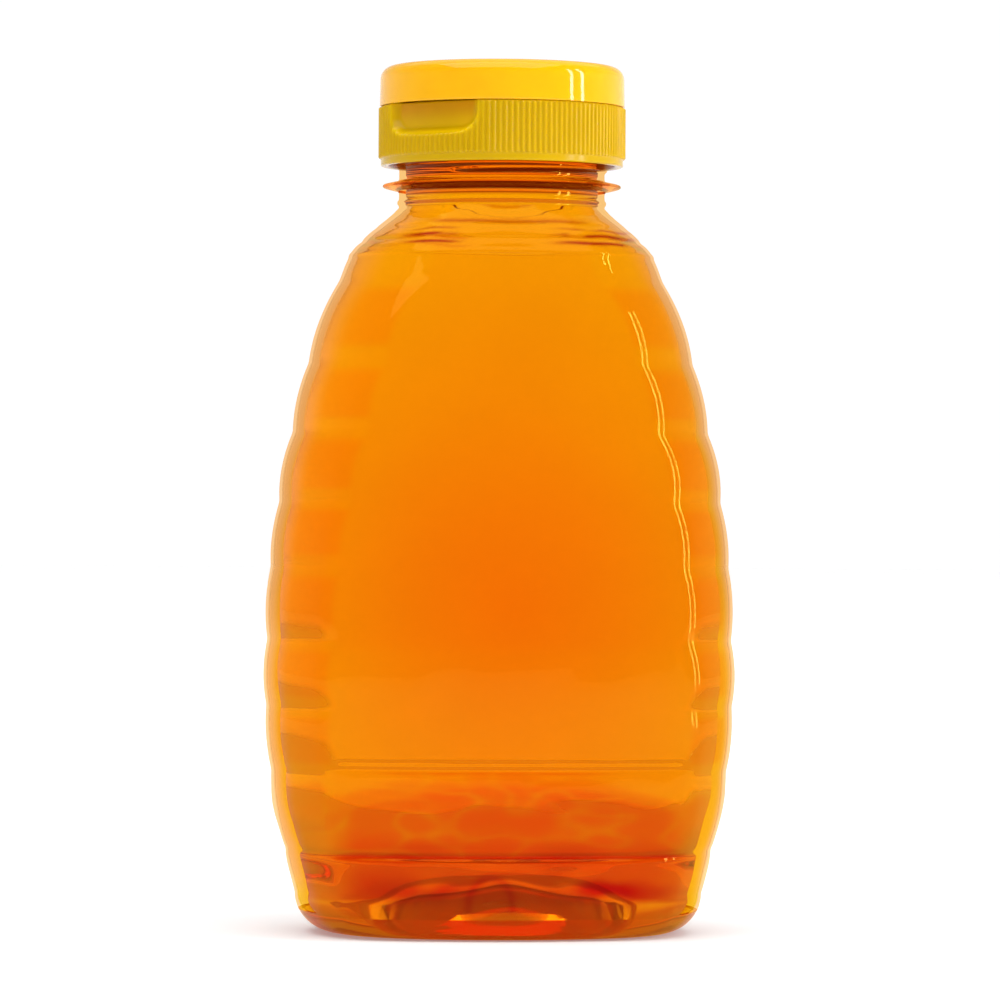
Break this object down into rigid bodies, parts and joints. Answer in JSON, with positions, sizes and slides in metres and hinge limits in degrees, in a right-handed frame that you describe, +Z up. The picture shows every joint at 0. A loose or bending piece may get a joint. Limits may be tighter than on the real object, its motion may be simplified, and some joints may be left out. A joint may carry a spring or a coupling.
{
  "type": "honey squeeze bottle with flip-top cap",
  "caption": "Clear ribbed oval squeeze bottle filled with honey, with flat label panels, a round neck with support ring and a knurled flip-top cap.",
  "frame": {"origin": "on the ground, under the middle of the bottle's outline", "axes": "+Z up along the neck; -Y out of the front label panel; +X towards one ribbed side; the cap's thumb scoop faces 43 degrees round from -Y towards -X, and its hinge is opposite"},
  "size_m": [0.0792, 0.055, 0.145],
  "materials": {
    "clear_plastic": "clear, glossy, smooth",
    "honey": "clear orange, glossy",
    "cap_plastic": "satin to glossy moulded plastic"
  },
  "bodies": {
    "bottle_body": {"bottle": "clear_plastic", "honey": "honey", "cap_base": "cap_plastic"},
    "lid_body": {"lid": "cap_plastic"}
  },
  "joints": [
    {"name": "lid_hinge", "type": "hinge", "parent": "bottle_body", "child": "lid_body", "pos_m": [0.01384, 0.01485, 0.13828], "axis": [-0.7314, 0.682, 0], "range_deg": [0, 150]}
  ]
}
